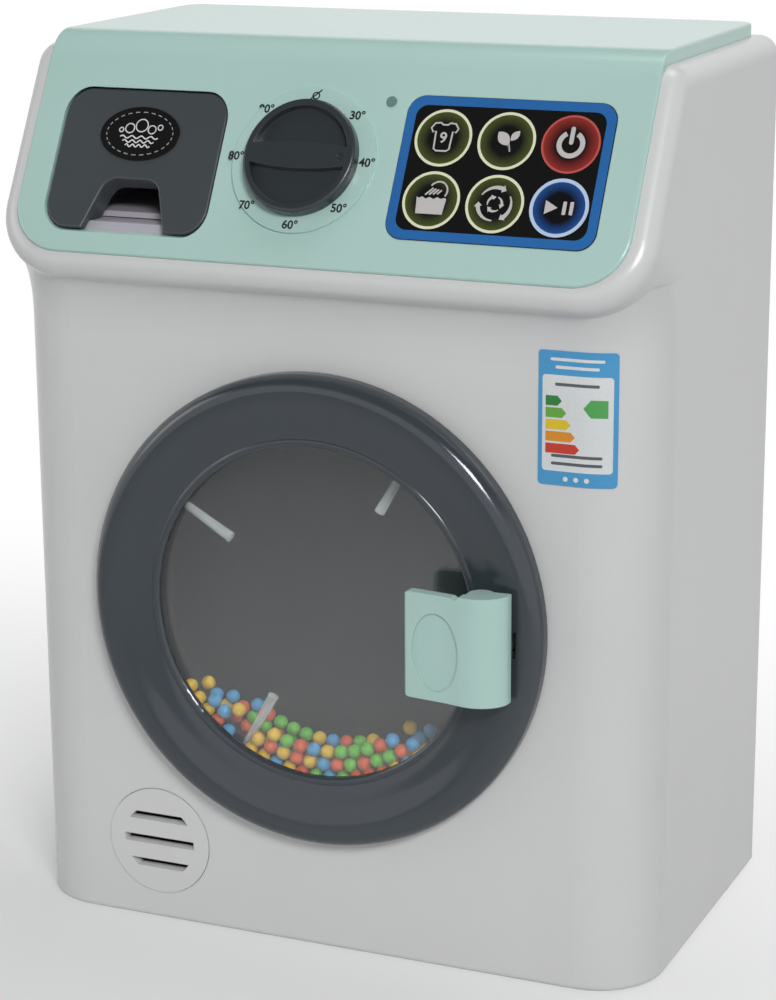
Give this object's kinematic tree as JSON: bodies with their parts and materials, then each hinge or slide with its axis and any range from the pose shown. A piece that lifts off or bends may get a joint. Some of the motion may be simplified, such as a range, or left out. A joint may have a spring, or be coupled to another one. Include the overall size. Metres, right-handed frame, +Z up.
{
  "type": "toy washing machine",
  "caption": "Toy washing machine: white flared housing, mint top with drawer, dial and touch panel, round door with latch, geared bead drum.",
  "frame": {"origin": "bottom centre of the overall box, latch included", "axes": "+Z up, +X to the right seen from the front, -Y out of the front"},
  "size_m": [0.21, 0.138, 0.28],
  "materials": {
    "white_abs": "satin moulded",
    "mint_abs": "satin moulded",
    "slate_abs": "gloss moulded",
    "drum_grey": "moulded",
    "lilac_plastic": "moulded",
    "black_plastic": "moulded",
    "badge_print": "gloss print",
    "panel_film": "gloss print",
    "label_print": "printed film",
    "clear_lens": "clear",
    "circuit_board": "solder mask",
    "zinc_steel": "zinc plated",
    "motor_steel": "drawn",
    "brass_bush": "turned",
    "clear_plastic": "clear moulded",
    "gear_nylon": "moulded nylon",
    "paper_cone": "pressed paper",
    "ferrite": "sintered",
    "cell_wrap": "wrapped",
    "yellow_bead": "moulded",
    "orange_bead": "moulded",
    "green_bead": "moulded",
    "blue_bead": "moulded"
  },
  "bodies": {
    "housing": {"cabinet_shell": "white_abs", "back_cover": "white_abs", "battery_door": "white_abs", "vent_grille": "white_abs", "back_cover_screws": "zinc_steel", "top_cover": "mint_abs", "drawer_guide": "lilac_plastic", "dial_switch": "black_plastic", "touch_panel": "panel_film", "indicator_lens": "clear_lens", "indicator_led": "clear_lens", "control_board": "circuit_board", "panel_lamps": "clear_lens", "board_chips": "black_plastic", "hinge_pin": "zinc_steel", "latch_keeper": "zinc_steel", "drum_housing": "drum_grey", "shaft_bush": "brass_bush", "idler_axle": "zinc_steel", "gearbox_cover": "drum_grey", "motor_can": "motor_steel", "motor_cap": "black_plastic", "motor_terminals": "brass_bush", "speaker_frame": "zinc_steel", "speaker_cone": "paper_cone", "speaker_magnet": "ferrite", "energy_label": "label_print", "battery_box": "white_abs", "battery_cells": "cell_wrap", "battery_contacts": "zinc_steel", "battery_door_screw": "zinc_steel", "fixing_screws": "zinc_steel", "yellow_beads": "yellow_bead", "orange_beads": "orange_bead", "green_beads": "green_bead", "blue_beads": "blue_bead"},
    "door": {"door_ring": "slate_abs", "door_window": "clear_plastic", "window_retainer": "slate_abs", "retainer_screws": "zinc_steel", "latch_pin": "zinc_steel", "latch_spring": "zinc_steel"},
    "latch": {"latch_handle": "mint_abs"},
    "drum": {"drum_window": "clear_plastic", "drum_shell": "drum_grey", "drum_pins": "clear_plastic", "drum_shaft": "zinc_steel", "shaft_clip": "zinc_steel", "drum_gear": "gear_nylon"},
    "idler": {"idler_gear": "gear_nylon"},
    "pinion": {"motor_pinion": "brass_bush", "motor_shaft": "zinc_steel"},
    "drawer": {"drawer_front": "mint_abs", "drawer_badge": "badge_print", "drawer_tray": "lilac_plastic"},
    "dial": {"dial_knob": "mint_abs", "dial_spindle": "black_plastic"}
  },
  "joints": [
    {"name": "door_hinge", "type": "hinge", "parent": "housing", "child": "door", "pos_m": [-0.0695, -0.0545, 0.1107], "axis": [0, 0, -1], "range_deg": [0, 95]},
    {"name": "latch_pivot", "type": "hinge", "parent": "door", "child": "latch", "pos_m": [0.058, -0.0621, 0.1099], "axis": [0, 0, -1], "range_deg": [0, 9], "stiffness_Nm_per_rad": 0.02},
    {"name": "drum_spin", "type": "hinge", "parent": "housing", "child": "drum", "pos_m": [0, -0.0495, 0.1107], "axis": [0, -1, 0], "continuous": true},
    {"name": "idler_spin", "type": "hinge", "parent": "housing", "child": "idler", "pos_m": [0.01928, -0.0495, 0.08772], "axis": [0, -1, 0], "continuous": true},
    {"name": "pinion_spin", "type": "hinge", "parent": "housing", "child": "pinion", "pos_m": [0.00049, -0.0495, 0.08088], "axis": [0, -1, 0], "continuous": true},
    {"name": "drawer_slide", "type": "slide", "parent": "housing", "child": "drawer", "axis": [0, -1, 0], "range_m": [0, 0.03]},
    {"name": "dial_turn", "type": "hinge", "parent": "housing", "child": "dial", "pos_m": [-0.0056, -0.04313, 0.24647], "axis": [0, -0.8721, 0.4894], "continuous": true}
  ],
  "couplings": [
    {"joint": "idler_spin", "follows": "drum_spin", "ratio": -4},
    {"joint": "pinion_spin", "follows": "drum_spin", "ratio": 16}
  ]
}
